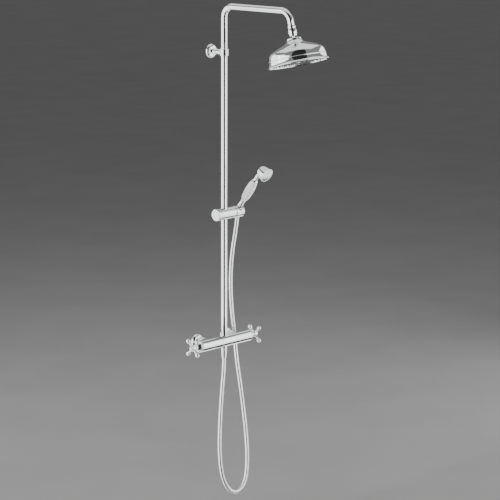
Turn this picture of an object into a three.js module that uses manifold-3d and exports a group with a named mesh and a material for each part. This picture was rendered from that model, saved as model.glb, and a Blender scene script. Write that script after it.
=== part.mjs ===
// Rainfall shower column: a bar valve, a riser with an overhead rose, and a handset on a slider.
// Millimetres, +Z up. X runs along the wall, the wall is the plane Y = 0, and the column stands at -Y.
// The origin is on the wall, midway between the two water inlets, at the height of the valve's axis.
import * as THREE from 'three';
import { mergeVertices } from 'three/addons/utils/BufferGeometryUtils.js';
import Module from 'manifold-3d';

const wasm = await Module();
wasm.setup();

// ---------- driving dimensions ----------
const GAP = 0.3;
const WALL_TO_AXIS = 65;
const INLET_SPACING = 150;
const PIPE_RADIUS = 11;
const PIPE_WALL = 1;
const BAR_RADIUS = 21;
const BAR_HALF_LENGTH = 124;
const HANDLE_START = 132;
const HANDLE_CROSS_HEIGHT = 28;
const BRACKET_HEIGHT = 1035;
const ARM_HEIGHT = 1196;
const ARM_FIRST_BEND = 40;
const ARM_SECOND_BEND = 45;
const BALL_REACH = 319.5;
const HEAD_TILT = THREE.MathUtils.degToRad(15);
const HEAD_RADIUS = 107.6;
const HEAD_DEPTH = 107.4;
const SLIDER_HEIGHT = 462;
const SLIDER_RADIUS = 21;
const HANDSET_OFFSET = 66;
const HANDSET_LEAN = THREE.MathUtils.degToRad(36);
const HOSE_RADIUS = 7;
const HOSE_ENTRY_LEAN = THREE.MathUtils.degToRad(6);
const HOSE_ENTRY_SHIFT = -3.4;
const FINE = 24;
const MEDIUM = 16;
const COARSE = 12;
const ROSE_SEGMENTS = 36;

// ---------- materials ----------
function material(color, roughness, metalness) {
  return new THREE.MeshStandardMaterial({ color, roughness, metalness });
}
const chrome = () => material(0xd6d9dc, 0.08, 1);
const brass = () => material(0xc2a15a, 0.3, 1);
const steel = () => material(0xa9acb0, 0.35, 1);
const porcelain = () => material(0xf4f3ee, 0.15, 0);
const rubber = () => material(0x26272a, 0.7, 0);
const nylon = () => material(0xdddcd6, 0.5, 0);
const silicone = () => material(0x4b4e52, 0.6, 0);

// ---------- shape helpers ----------
function signedVolume(geometry) {
  const position = geometry.attributes.position;
  const corner = [0, 1, 2].map(() => new THREE.Vector3());
  let volume = 0;
  for (let start = 0; start < geometry.index.count; start += 3) {
    corner.forEach((point, k) => point.fromBufferAttribute(position, geometry.index.getX(start + k)));
    volume += corner[0].dot(corner[1].cross(corner[2])) / 6;
  }
  return volume;
}

function dropEmptyTriangles(geometry) {
  const kept = [];
  for (let start = 0; start < geometry.index.count; start += 3) {
    const [a, b, c] = [0, 1, 2].map((k) => geometry.index.getX(start + k));
    if (a !== b && b !== c && c !== a) {
      kept.push(a, b, c);
    }
  }
  geometry.setIndex(kept);
  return geometry;
}

// Merges the shared corners and turns the surface so that it faces out.
function closed(geometry) {
  geometry.deleteAttribute('normal');
  geometry.deleteAttribute('uv');
  const merged = dropEmptyTriangles(mergeVertices(geometry, 1e-4));
  if (signedVolume(merged) < 0) {
    merged.setIndex(Array.from(merged.index.array).reverse());
  }
  merged.computeVertexNormals();
  return merged;
}

// A turned solid about Z. The profile lists [radius, height] and starts and ends on the axis.
function turned(profile, segments = MEDIUM) {
  const outline = profile.map(([radius, height]) => new THREE.Vector2(radius, height));
  return closed(new THREE.LatheGeometry(outline, segments).rotateX(Math.PI / 2));
}

// A turned ring about Z. The profile closes on itself, away from the axis.
function ring(profile, segments = MEDIUM) {
  return turned([...profile, profile[0]], segments);
}

function disc(radius, bottom, top, segments = MEDIUM) {
  return turned([[0, bottom], [radius, bottom], [radius, top], [0, top]], segments);
}

function tube(inner, outer, bottom, top, segments = MEDIUM) {
  return ring([[inner, bottom], [outer, bottom], [outer, top], [inner, top]], segments);
}

function pointsOnArc(centreHeight, radius, fromAngle, toAngle, steps) {
  return Array.from({ length: steps + 1 }, (_, k) => {
    const angle = fromAngle + ((toAngle - fromAngle) * k) / steps;
    return [radius * Math.cos(angle), centreHeight + radius * Math.sin(angle)];
  });
}

function toSolid(geometry) {
  const vertProperties = Float32Array.from(geometry.attributes.position.array);
  const triVerts = Uint32Array.from(geometry.index.array);
  return new wasm.Manifold(new wasm.Mesh({ numProp: 3, vertProperties, triVerts }));
}

function fromSolid(solid) {
  const mesh = solid.getMesh();
  const geometry = new THREE.BufferGeometry();
  geometry.setAttribute('position', new THREE.BufferAttribute(Float32Array.from(mesh.vertProperties), 3));
  geometry.setIndex(Array.from(mesh.triVerts));
  return closed(geometry);
}

function cut(geometry, ...cutters) {
  return fromSolid(cutters.reduce((solid, cutter) => solid.subtract(toSolid(cutter)), toSolid(geometry)));
}

function join(geometry, ...others) {
  return fromSolid(others.reduce((solid, other) => solid.add(toSolid(other)), toSolid(geometry)));
}

// Directions for shapes that are drawn about Z.
const alongX = (geometry) => geometry.rotateY(Math.PI / 2);
const outOfWall = (geometry) => geometry.rotateX(Math.PI / 2);

function part(name, geometry, surface) {
  const mesh = new THREE.Mesh(geometry, surface);
  mesh.name = name;
  return mesh;
}

function placed(object, x, y, z) {
  object.position.set(x, y, z);
  return object;
}

// ---------- wall inlets ----------
const UNION_RADIUS = 13;
const NUT_ACROSS_FLATS = 34;

function inletUnion() {
  const flange = [[7.5, 0], [12.5, 0], [12.5, 20], [UNION_RADIUS, 20], [UNION_RADIUS, 27.5], [7.5, 27.5]];
  return outOfWall(ring(flange));
}

function inletRosette() {
  const outside = [[27, 0], [27, 2.4], [25.4, 7], [21, 11.4], [13.6, 13.8]];
  const inside = [[13.6, 12.2], [20.2, 9.8], [24, 6], [25.4, 0]];
  return outOfWall(ring([...outside, ...inside], FINE));
}

function inletNut() {
  const corner = NUT_ACROSS_FLATS / 2 / Math.cos(Math.PI / 6);
  const hexagon = disc(corner, 21, 37, 6);
  const bevel = [[14, 20], [18.6, 22.6], [20, 26], [20, 33], [18.6, 35.6], [15, 38]];
  const bore = turned([[0, 20], [13.4, 20], [13.4, 33.4], [10.4, 33.4], [10.4, 38], [0, 38]]);
  const rounded = toSolid(hexagon).intersect(toSolid(turned([[0, 20], ...bevel, [0, 38]], FINE)));
  return outOfWall(fromSolid(rounded.subtract(toSolid(bore))));
}

function inletPieces(side, x) {
  const washer = outOfWall(tube(8, 12.4, 27.8, 29.8));
  return [
    placed(part(`wall_union_${side}`, inletUnion(), chrome()), x, 0, 0),
    placed(part(`wall_rosette_${side}`, inletRosette(), chrome()), x, 0, 0),
    placed(part(`union_nut_${side}`, inletNut(), chrome()), x, 0, 0),
    placed(part(`union_washer_${side}`, washer, rubber()), x, 0, 0),
  ];
}

// ---------- bar valve ----------
const POCKET_RADIUS = 17;
const POCKET_DEPTH = 58;

function valveBody() {
  const bar = alongX(disc(BAR_RADIUS, -BAR_HALF_LENGTH, BAR_HALF_LENGTH, FINE));
  const stubProfile = [[0, 30.1], [12.5, 30.1], [12.5, 33.1], [10, 33.1], [10, 50], [0, 50]];
  const stubs = [-1, 1].map((side) => {
    return outOfWall(turned(stubProfile)).translate((side * INLET_SPACING) / 2, WALL_TO_AXIS, 0);
  });
  const bottomBoss = disc(10, -23, -15);
  const pockets = [-1, 1].map((side) => {
    const middle = side * (BAR_HALF_LENGTH - POCKET_DEPTH / 2);
    const reach = POCKET_DEPTH / 2 + 0.5;
    return alongX(disc(POCKET_RADIUS, middle - reach, middle + reach));
  });
  const inletBores = [-1, 1].map((side) => {
    const bore = outOfWall(disc(6, 25, WALL_TO_AXIS, COARSE));
    return bore.translate((side * INLET_SPACING) / 2, WALL_TO_AXIS, 0);
  });
  const riserBore = disc(7.8, 9, 25, COARSE);
  const hoseBore = disc(6.8, -30, -12, COARSE);
  const waterways = [alongX(disc(4, -70, 70, COARSE)), disc(4, -15, 12, COARSE)];
  const solidBar = join(bar, ...stubs, bottomBoss);
  return cut(solidBar, ...pockets, ...inletBores, riserBore, hoseBore, ...waterways);
}

// Handle pieces are drawn about Z from the valve's end outwards and then turned along X.
function barEnd() {
  const outline = [[13, -7.7], [BAR_RADIUS, -7.7], [BAR_RADIUS, -3.4], [20.2, -1.8], [18.6, -1], [13, -1]];
  return ring(outline, FINE);
}

function cartridge() {
  const barrel = [[0, -65.5], [13, -65.5], [16.5, -62], [16.5, -8.3]];
  const mouth = [[12.6, -8.3], [12.6, -1.6], [4.4, -1.6], [4.4, -22], [0, -22]];
  return turned([...barrel, ...mouth]);
}

function spindle() {
  return turned([[0, -20], [4, -20], [4, 18.5], [2.2, 18.5], [2.2, 8], [0, 8]], COARSE);
}

function crossHandle() {
  const skirt = [[0, 0], [14, 0], [14.6, 1.4], [10.4, 7.4], [8, 14], [8.8, 18.6], [10.8, 22]];
  const hub = [[10.8, 33.6], [10, 35.6], [7.7, 37], [7.7, 34], [0, 34]];
  const rod = [[0, 4], [4.4, 4], [3.1, 15], [3.9, 22.4]];
  const finial = [...rod, [6.9, 28], [7.3, 31.6], [6.4, 35.6], [3, 38.6], [0, 39]];
  const arms = [0, 1, 2, 3].map((quarter) => {
    const arm = turned(finial, 10).rotateX(Math.PI / 2);
    return arm.rotateZ(Math.PI / 4 + (quarter * Math.PI) / 2).translate(0, 0, HANDLE_CROSS_HEIGHT);
  });
  const spindleBore = [[0, -1], [4.4, -1], [4.4, 19], [2.4, 19]];
  const bore = turned([...spindleBore, [2.4, 27], [4.6, 27], [4.6, 35], [0, 35]], COARSE);
  return cut(join(turned([...skirt, ...hub], FINE), ...arms), bore);
}

function handleScrew() {
  return turned([[0, 9], [2, 9], [2, 27.4], [4.2, 27.4], [4.2, 31], [0, 31]]);
}

function indexButton() {
  return turned([[0, 34.3], [7.3, 34.3], [7.3, 37], [6, 38.6], [3.4, 39.6], [0, 40]]);
}

function valveEnd(side, role, direction) {
  const pieces = [
    part(`bar_end_${side}`, barEnd(), chrome()),
    part(`${role}_cartridge`, cartridge(), brass()),
    part(`${role}_spindle`, spindle(), brass()),
    part(`${role}_cross_handle`, crossHandle(), chrome()),
    part(`${role}_handle_screw`, handleScrew(), steel()),
    part(`${role}_index_button`, indexButton(), porcelain()),
  ];
  const group = new THREE.Group();
  group.add(...pieces);
  group.rotation.y = (direction * Math.PI) / 2;
  return placed(group, direction * HANDLE_START, 0, 0);
}

function hoseOutlet() {
  const nipple = tube(4, 6.5, -34, -14, COARSE);
  const nutHead = [[6.8, -23.3], [10, -23.3], [10.5, -24.4], [10.5, -36], [9.9, -37]];
  const nutSleeve = [[10.2, -38.2], [8.6, -61], [8, -62], [4.5, -62], [4.5, -36.8], [6.8, -36.8]];
  const nut = ring([...nutHead, ...nutSleeve]);
  return [
    part('hose_outlet_nipple', nipple, brass()),
    part('hose_base_nut', nut, chrome()),
    part('hose_base_washer', tube(4.2, 6.5, -36.5, -34.3, COARSE), rubber()),
  ];
}

// ---------- riser, bracket and overhead arm ----------
function riserPieces() {
  const lowerEnd = 14;
  const pipe = tube(PIPE_RADIUS - PIPE_WALL, PIPE_RADIUS, lowerEnd, BRACKET_HEIGHT - GAP);
  const saddle = alongX(disc(BAR_RADIUS + GAP, -30, 30, FINE));
  const spigotFoot = [[5, 9.4], [7.5, 9.4], [7.5, 27]];
  const spigotGroove = [[9.5, 27], [9.5, 29], [7.6, 29], [7.6, 31.6], [9.5, 31.6], [9.5, 36]];
  const spigot = ring([...spigotFoot, ...spigotGroove, [5, 36]], COARSE);
  return [
    part('riser_pipe', cut(pipe, saddle), chrome()),
    part('riser_spigot', spigot, brass()),
    part('riser_o_ring', tube(7.9, 9.5, 29.3, 31.3, COARSE), rubber()),
    placed(part('pipe_joiner', tube(8.4, 9.4, -22, 22, COARSE), brass()), 0, 0, BRACKET_HEIGHT),
  ];
}

// A bent pipe's centre line in the plane X = 0: straight runs take one step each, bends take several.
class PipeRun extends THREE.Curve {
  constructor(start, direction, runs) {
    super();
    this.pieces = [];
    let point = start.clone();
    let heading = direction;
    for (const { length, radius, turn, steps } of runs) {
      this.pieces.push({ point: point.clone(), heading, length, radius, turn, steps });
      point = this.pointOn(this.pieces.at(-1), 1);
      heading += turn ?? 0;
    }
    this.steps = this.pieces.reduce((total, piece) => total + piece.steps, 0);
  }

  // Headings turn from +Z towards -Y.
  directionAt(heading) {
    return new THREE.Vector3(0, -Math.sin(heading), Math.cos(heading));
  }

  pointOn(piece, fraction) {
    if (!piece.turn) {
      return piece.point.clone().addScaledVector(this.directionAt(piece.heading), piece.length * fraction);
    }
    const toCentre = this.directionAt(piece.heading + Math.PI / 2).multiplyScalar(piece.radius);
    const centre = piece.point.clone().add(toCentre);
    const heading = piece.heading + piece.turn * fraction;
    return centre.sub(this.directionAt(heading + Math.PI / 2).multiplyScalar(piece.radius));
  }

  locate(t) {
    let station = t * this.steps;
    for (const piece of this.pieces) {
      if (station <= piece.steps || piece === this.pieces.at(-1)) {
        return [piece, Math.min(station / piece.steps, 1)];
      }
      station -= piece.steps;
    }
  }

  getPoint(t) {
    const [piece, fraction] = this.locate(t);
    return this.pointOn(piece, fraction);
  }

  getTangent(t) {
    const [piece, fraction] = this.locate(t);
    return this.directionAt(piece.heading + (piece.turn ?? 0) * fraction);
  }

  // Keeps the stations where the runs put them, instead of spreading them evenly.
  getUtoTmapping(u) {
    return u;
  }
}

function circlePoints(radius, segments) {
  return Array.from({ length: segments }, (_, k) => {
    const angle = (k * 2 * Math.PI) / segments;
    return new THREE.Vector2(radius * Math.cos(angle), radius * Math.sin(angle));
  });
}

function circleShape(radius, holeRadius, segments) {
  const shape = new THREE.Shape(circlePoints(radius, segments));
  if (holeRadius > 0) {
    shape.holes.push(new THREE.Path(circlePoints(holeRadius, segments)));
  }
  return shape;
}

function sweep(shape, curve, steps) {
  return closed(new THREE.ExtrudeGeometry(shape, { extrudePath: curve, steps, curveSegments: 1 }));
}

// The arm's centre line ends on the ball joint's axis, a little above the ball.
const PIPE_END_ABOVE_BALL = 6;
const BALL_BELOW_BEND = 38.4;
const armFall = ARM_SECOND_BEND * (1 - Math.sin(HEAD_TILT));
const BALL_HEIGHT = ARM_HEIGHT - armFall - BALL_BELOW_BEND;

function shaftLengths() {
  const bendReach = ARM_FIRST_BEND + ARM_SECOND_BEND * Math.cos(HEAD_TILT);
  const endLength = BALL_BELOW_BEND / Math.cos(HEAD_TILT);
  const straight = BALL_REACH - bendReach - endLength * Math.sin(HEAD_TILT);
  return { straight, end: endLength - PIPE_END_ABOVE_BALL };
}

function showerArm() {
  const { straight, end } = shaftLengths();
  const start = new THREE.Vector3(0, 0, BRACKET_HEIGHT + GAP);
  const rise = ARM_HEIGHT - ARM_FIRST_BEND - start.z;
  const run = new PipeRun(start, 0, [
    { length: rise, steps: 1 },
    { radius: ARM_FIRST_BEND, turn: Math.PI / 2, steps: 9 },
    { length: straight, steps: 1 },
    { radius: ARM_SECOND_BEND, turn: Math.PI / 2 - HEAD_TILT, steps: 8 },
    { length: end, steps: 1 },
  ]);
  return sweep(circleShape(PIPE_RADIUS, PIPE_RADIUS - PIPE_WALL, MEDIUM), run, run.steps);
}

function bracketPieces() {
  const rosetteOutside = [[24.5, 0], [24.5, 2], [22.8, 6.2], [17.6, 9.8], [8.9, 11.6]];
  const rosetteInside = [[8.9, 10.2], [17, 8.4], [21.4, 5.2], [23, 0]];
  const base = turned([[0, 0], [12, 0], [12, 5], [4, 5], [4, 18], [0, 18]], COARSE);
  const stemOutside = [[4.3, 5.4], [8.5, 5.4], [8.5, 17], [7, 20], [7, 26], [9.4, 28], [9.4, 32], [7.8, 34]];
  const stemEnd = [[7.8, 37], [9, 39], [9, 43], [8, 45], [8, WALL_TO_AXIS - 6], [0, WALL_TO_AXIS - 6]];
  const clampOutside = [[14.6, -12], [15.6, -11], [15.6, 11], [14.6, 12]];
  const clamp = ring([[PIPE_RADIUS + GAP, -12], ...clampOutside, [PIPE_RADIUS + GAP, 12]], FINE);
  const screwHole = alongX(disc(2.4, 8, 20, COARSE));
  const stem = turned([[0, 20], [4.3, 20], ...stemOutside, ...stemEnd]);
  const clampClearance = disc(15.9, -14, 14, FINE).translate(0, -WALL_TO_AXIS, 0);
  const pieces = [
    part('bracket_rosette', outOfWall(ring([...rosetteOutside, ...rosetteInside], FINE)), chrome()),
    part('bracket_wall_base', outOfWall(base), brass()),
    part('bracket_stem', cut(outOfWall(stem), clampClearance), chrome()),
    placed(part('bracket_clamp', cut(clamp, screwHole), chrome()), 0, -WALL_TO_AXIS, 0),
    placed(part('clamp_screw', alongX(disc(2.1, 11.6, 15.2, COARSE)), steel()), 0, -WALL_TO_AXIS, 0),
  ];
  const group = new THREE.Group();
  group.add(...pieces);
  return placed(group, 0, 0, BRACKET_HEIGHT);
}

// ---------- overhead rose ----------
// Drawn about the ball joint's centre, with the rose hanging down -Z.
const BALL_RADIUS = 8.5;
const NOZZLE_RINGS = [[24, 8], [46, 14], [67, 20], [87, 26]];
const NOZZLE_SIDES = 5;

function ballNut() {
  const seat = pointsOnArc(0, BALL_RADIUS + GAP, Math.asin(-5 / 8.8), Math.asin(-2.5 / 8.8), 2);
  const inside = [[9.4, -12], ...seat, [11.3, -2.5], [11.3, 14]];
  const outside = [[12, 14], [13.8, 8], [14.6, 2], [13.9, -6], [11.4, -12]];
  return ring([...inside, ...outside], MEDIUM);
}

function swivelBall() {
  const boreRadius = 3;
  const lowest = -Math.acos(4.5 / BALL_RADIUS);
  const highest = Math.acos(boreRadius / BALL_RADIUS);
  const ball = pointsOnArc(0, BALL_RADIUS, lowest, highest, 8);
  return ring([[boreRadius, -30], [6.6, -30], [6.6, -17.4], [4.5, -17.4], ...ball], MEDIUM);
}

function headBell() {
  const neck = [[7.1, -17.6], [22.4, -18.6], [24.4, -20.2], [24.8, -23.4], [27, -28.6]];
  const crown = [[33, -34.6], [41, -39], [52, -43.2], [82, -56.6], [91, -62.8], [95.6, -70], [97.8, -78]];
  const foot = [[100.7, -94.6], [102.4, -101.2], [HEAD_RADIUS, -105.6], [HEAD_RADIUS, -HEAD_DEPTH]];
  const inside = [[104, -HEAD_DEPTH], [98.8, -100.4], [95.8, -78], [89, -64.4], [81, -58.8]];
  const top = [[51, -45.4], [31.4, -36.4], [22.4, -25], [20, -21.6], [7.1, -21.6]];
  return ring([...neck, ...crown, ...foot, ...inside, ...top], ROSE_SEGMENTS);
}

function ringPositions(rings) {
  return rings.flatMap(([radius, count]) => {
    return Array.from({ length: count }, (_, k) => {
      const angle = ((k + 0.5) * 2 * Math.PI) / count;
      return [radius * Math.cos(angle), radius * Math.sin(angle)];
    });
  });
}

// One small five-sided prism for each nozzle position.
function nozzlePrisms(rings, radius, bottom, top) {
  return ringPositions(rings).map(([x, y]) => disc(radius, bottom, top, NOZZLE_SIDES).translate(x, y, 0));
}

function roseGroup() {
  const collarProfile = [[11.3, 14.4], [12.6, 14.4], [13.1, 16], [13.1, 20], [12.3, 23.6], [11.3, 23.6]];
  const plate = disc(98, -103.8, -101.4, ROSE_SEGMENTS);
  const mat = disc(93, -101.1, -98.6, ROSE_SEGMENTS);
  const pieces = [
    part('arm_collar', ring(collarProfile), chrome()),
    part('ball_nut', ballNut(), chrome()),
    part('ball_seat', tube(8.9, 10.2, 0.3, 3, COARSE), nylon()),
    part('swivel_ball', swivelBall(), chrome()),
    part('rose_bell', headBell(), chrome()),
    part('rose_lock_nut', tube(6.9, 12, -27.5, -21.9, COARSE), brass()),
    part('rose_spray_plate', cut(plate, ...nozzlePrisms(NOZZLE_RINGS, 2.7, -105, -100)), chrome()),
    part('rose_nozzle_mat', join(mat, ...nozzlePrisms(NOZZLE_RINGS, 2.3, -106.6, -100)), silicone()),
    part('rose_gasket', tube(93.6, 97.4, -101.1, -98.6, ROSE_SEGMENTS), rubber()),
  ];
  const group = new THREE.Group();
  group.add(...pieces);
  group.rotation.x = -HEAD_TILT;
  return placed(group, 0, -BALL_REACH, BALL_HEIGHT);
}

// ---------- slider and holder ----------
// Drawn about the point where the slider's axis crosses the riser.
const BUSH_RADIUS = 13.2;
const HOLDER_START = 47;
const HOLDER_END = 82;

function sliderBody() {
  const barrel = disc(SLIDER_RADIUS - 0.5, -28.7, 45, FINE);
  const pivotBore = disc(8.3, 26, 46);
  const lockBore = disc(4.3, -30, -5, COARSE);
  const riserWay = disc(BUSH_RADIUS + GAP, -25, 25);
  return cut(alongX(barrel), alongX(pivotBore), alongX(lockBore), riserWay);
}

function sliderBush() {
  return tube(PIPE_RADIUS + GAP, BUSH_RADIUS, -15, 15);
}

function lockKnob() {
  const face = [[0, -43.4], [19.4, -43.4], [SLIDER_RADIUS, -41.6], [SLIDER_RADIUS, -31]];
  return alongX(turned([...face, [19, -29], [4.4, -29], [4.4, -37], [0, -37]], FINE));
}

// The groove beside the socket that lets the hose's cone come out with the handset.
function coneRelief() {
  return disc(8.6, -10, 40).translate(0, -5.3, 0).rotateX(HANDSET_LEAN);
}

function holderBody() {
  const pivot = [[0, 29], [8, 29], [8, HOLDER_START]];
  const barrel = [[19.8, HOLDER_START], [SLIDER_RADIUS, 48.2], [SLIDER_RADIUS, HOLDER_END], [0, HOLDER_END]];
  const outside = [...pivot, ...barrel];
  const socket = turned([[0, -4], [9.6, -4], [12.4, 30], [0, 30]]).rotateX(HANDSET_LEAN);
  const hoseWay = disc(8.6, -30, 5).rotateX(HOSE_ENTRY_LEAN).translate(0, HOSE_ENTRY_SHIFT, 0);
  const cutters = [socket, hoseWay, coneRelief()];
  const placedCutters = cutters.map((cutter) => cutter.translate(HANDSET_OFFSET, 0, 0));
  return cut(alongX(turned(outside, FINE)), ...placedCutters);
}

function holderCap() {
  const outline = [[0, 82.3], [SLIDER_RADIUS, 82.3], [SLIDER_RADIUS, 85], [19, 87.4], [0, 87.4]];
  return alongX(turned(outline, FINE));
}

// ---------- handset ----------
// Drawn about the slider's axis, with the handset's own axis up +Z.
const FACE_ALONG = 201.7;
const FACE_FORWARD = 31.8;
const FACE_TURN = THREE.MathUtils.degToRad(-97.5);
const FACE_RINGS = [[8, 6], [16.4, 12]];

function handsetFerrule() {
  const seat = [[4.6, 10.4], [10.1, 10.4], [11.2, 21.4], [9.2, 23.6]];
  const waist = [[9.9, 30], [9.4, 37], [7.5, 49], [8.8, 50.6], [8.8, 53], [8.2, 54.3], [4.6, 54.3]];
  return ring([...seat, ...waist]);
}

function handsetGrip() {
  const lower = [[4.6, 54.6], [8.2, 54.6], [11.6, 63], [14.2, 74], [15.9, 92], [16.2, 104]];
  const upper = [[16, 116], [15.2, 127], [11.9, 143], [10.4, 146.4], [4.6, 146.4]];
  return ring([...lower, ...upper]);
}

function handsetNeck() {
  const collar = [[4.6, 146.7], [10.6, 146.7], [11, 148.2], [8.4, 152], [7.2, 158]];
  return ring([...collar, [7.2, 176], [6.6, 181], [4.6, 184]]);
}

// The head is drawn from its rim, at height 0, up to the dome at its back, and then turned onto the neck.
function onNeck(geometry) {
  return geometry.rotateX(FACE_TURN).translate(0, -FACE_FORWARD, FACE_ALONG);
}

function handsetHead() {
  const inside = [[0, 38.4], [6.4, 37.8], [11.8, 35.8], [19.6, 26.4], [21.8, 14], [23, 5.4]];
  const rim = [[24.4, 3.4], [24.4, 0], [26.5, 0], [26.5, 1.6], [25, 5.6], [23.8, 14], [21.8, 25]];
  const dome = [[18.2, 33], [13, 37.4], [7, 39.7], [0, 40.4]];
  return cut(onNeck(turned([...inside, ...rim, ...dome], FINE)), disc(7.6, 150, 185.4));
}

function handsetGroup() {
  const plate = cut(disc(24, 0.9, 2.6, FINE), ...nozzlePrisms(FACE_RINGS, 1.6, 0, 4));
  const mat = join(disc(20.6, 2.9, 4.6, FINE), ...nozzlePrisms(FACE_RINGS, 1.3, -0.4, 3.5));
  const group = new THREE.Group();
  group.add(
    part('handset_ferrule', handsetFerrule(), chrome()),
    part('handset_grip', handsetGrip(), porcelain()),
    part('handset_core_tube', tube(3.3, 4.3, 16, 178, COARSE), brass()),
    part('handset_neck', handsetNeck(), chrome()),
    part('handset_head', handsetHead(), chrome()),
    part('handset_spray_plate', onNeck(plate), chrome()),
    part('handset_nozzle_mat', onNeck(mat), silicone()),
  );
  group.rotation.x = HANDSET_LEAN;
  return placed(group, HANDSET_OFFSET, 0, 0);
}

// ---------- hose ----------
const HOSE_ROUTE = [
  [66, -67.4, 452.4], [66, -66, 438], [64.6, -63, 410], [61.6, -58.6, 372], [59.6, -51, 325],
  [60.6, -43, 270], [65, -36, 215], [73, -30, 150], [84, -25, 85], [95.6, -21.6, 34],
  [102, -20.6, -6], [106.6, -22, -56], [113, -25, -115], [125, -29, -195], [137, -33, -285],
  [146.4, -37, -375], [149.6, -40, -440], [146, -43.4, -497], [136, -46.6, -541], [117, -49.4, -569],
  [91, -51.6, -582], [64, -53.4, -580], [38, -54.6, -564], [16, -55.6, -536], [0, -56.6, -500],
  [-10, -57.6, -458], [-15.6, -58.6, -408], [-16.8, -59.6, -350], [-15.4, -60.8, -290], [-11.8, -62.4, -225],
  [-6.6, -63.8, -160], [-1.4, -64.9, -105], [0, -65, -62.4],
];
const HOSE_STEPS = 50;

function hose() {
  const curve = new THREE.CatmullRomCurve3(HOSE_ROUTE.map(([x, y, z]) => new THREE.Vector3(x, y, z)));
  return part('shower_hose', sweep(circleShape(HOSE_RADIUS, 0, 8), curve, HOSE_STEPS), steel());
}

function hoseTopCone() {
  const profile = [[4.5, -9], [7, -9], [7.4, -6], [7.8, 3], [7, 4.6], [4.5, 4.6]];
  const cone = part('hose_top_cone', ring(profile, COARSE), chrome());
  cone.rotation.x = HOSE_ENTRY_LEAN;
  return placed(cone, HANDSET_OFFSET, HOSE_ENTRY_SHIFT, 0);
}

function sliderGroup() {
  const group = new THREE.Group();
  group.add(
    part('slider_bush', sliderBush(), nylon()),
    part('slider_body', sliderBody(), chrome()),
    part('slider_lock_knob', lockKnob(), chrome()),
    part('slider_lock_screw', alongX(disc(4, -36.6, -14)), steel()),
    part('holder_friction_ring', alongX(tube(8.4, 17, 45.3, 46.7)), rubber()),
    part('handset_holder', holderBody(), chrome()),
    part('holder_end_cap', holderCap(), chrome()),
    hoseTopCone(),
    handsetGroup(),
  );
  return placed(group, 0, -WALL_TO_AXIS, SLIDER_HEIGHT);
}

// ---------- the whole column ----------
const axisGroup = new THREE.Group();
axisGroup.add(valveEnd('left', 'diverter', -1), valveEnd('right', 'temperature', 1));
axisGroup.add(part('valve_body', valveBody(), chrome()), ...hoseOutlet(), ...riserPieces());
axisGroup.add(part('shower_arm', showerArm(), chrome()), roseGroup());
axisGroup.position.y = -WALL_TO_AXIS;

const column = new THREE.Group();
column.add(...inletPieces('left', -INLET_SPACING / 2), ...inletPieces('right', INLET_SPACING / 2));
column.add(axisGroup, bracketPieces(), sliderGroup(), hose());

export default column;
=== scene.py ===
"""Rainfall shower column: smooth pieces, finishes, light and camera on the column's CAD frame.

The frame is in metres with Z up: X runs along the wall, and the wall is the plane Y = 0.
Profiles are in millimetres and list [radius, height] about the piece's own axis.
"""
import math

import bmesh
import bpy
from mathutils import Matrix, Vector


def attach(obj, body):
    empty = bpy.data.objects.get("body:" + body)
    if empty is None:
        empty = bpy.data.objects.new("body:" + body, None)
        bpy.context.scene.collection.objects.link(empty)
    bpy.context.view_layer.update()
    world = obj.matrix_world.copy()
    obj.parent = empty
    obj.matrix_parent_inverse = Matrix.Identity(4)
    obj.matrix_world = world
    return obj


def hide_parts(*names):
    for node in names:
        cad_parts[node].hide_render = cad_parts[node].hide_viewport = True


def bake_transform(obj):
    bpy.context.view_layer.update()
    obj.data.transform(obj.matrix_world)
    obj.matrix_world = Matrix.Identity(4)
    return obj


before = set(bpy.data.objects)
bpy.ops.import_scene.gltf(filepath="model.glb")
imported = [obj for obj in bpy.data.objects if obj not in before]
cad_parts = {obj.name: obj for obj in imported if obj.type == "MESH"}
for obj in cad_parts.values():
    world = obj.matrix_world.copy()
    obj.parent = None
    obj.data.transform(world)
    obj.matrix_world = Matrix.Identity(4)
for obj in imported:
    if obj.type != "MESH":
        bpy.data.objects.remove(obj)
scene = bpy.context.scene


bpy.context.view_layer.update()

# ---------- driving dimensions, in millimetres ----------
MM = 0.001
GAP = 0.3
WALL_TO_AXIS = 65
INLET_SPACING = 150
PIPE_RADIUS = 11
BAR_RADIUS = 21
BAR_HALF_LENGTH = 124
HANDLE_START = 132
HANDLE_CROSS_HEIGHT = 28
BRACKET_HEIGHT = 1035
ARM_HEIGHT = 1196
ARM_FIRST_BEND = 40
ARM_SECOND_BEND = 45
BALL_REACH = 319.5
BALL_BELOW_BEND = 38.4
PIPE_END_ABOVE_BALL = 6
HEAD_TILT = math.radians(15)
BALL_RADIUS = 8.5
HEAD_RADIUS = 107.6
HEAD_DEPTH = 107.4
NOZZLE_RINGS = [[24, 8], [46, 14], [67, 20], [87, 26]]
SLIDER_HEIGHT = 462
SLIDER_RADIUS = 21
BUSH_RADIUS = 13.2
HANDSET_OFFSET = 66
HANDSET_LEAN = math.radians(36)
FACE_ALONG = 201.7
FACE_FORWARD = 31.8
FACE_TURN = math.radians(-97.5)
FACE_RINGS = [[8, 6], [16.4, 12]]
HOSE_RADIUS = 7
HOSE_ENTRY_LEAN = math.radians(6)
HOSE_ENTRY_SHIFT = -3.4
HOSE_RIDGE_PITCH = 3.6

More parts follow.
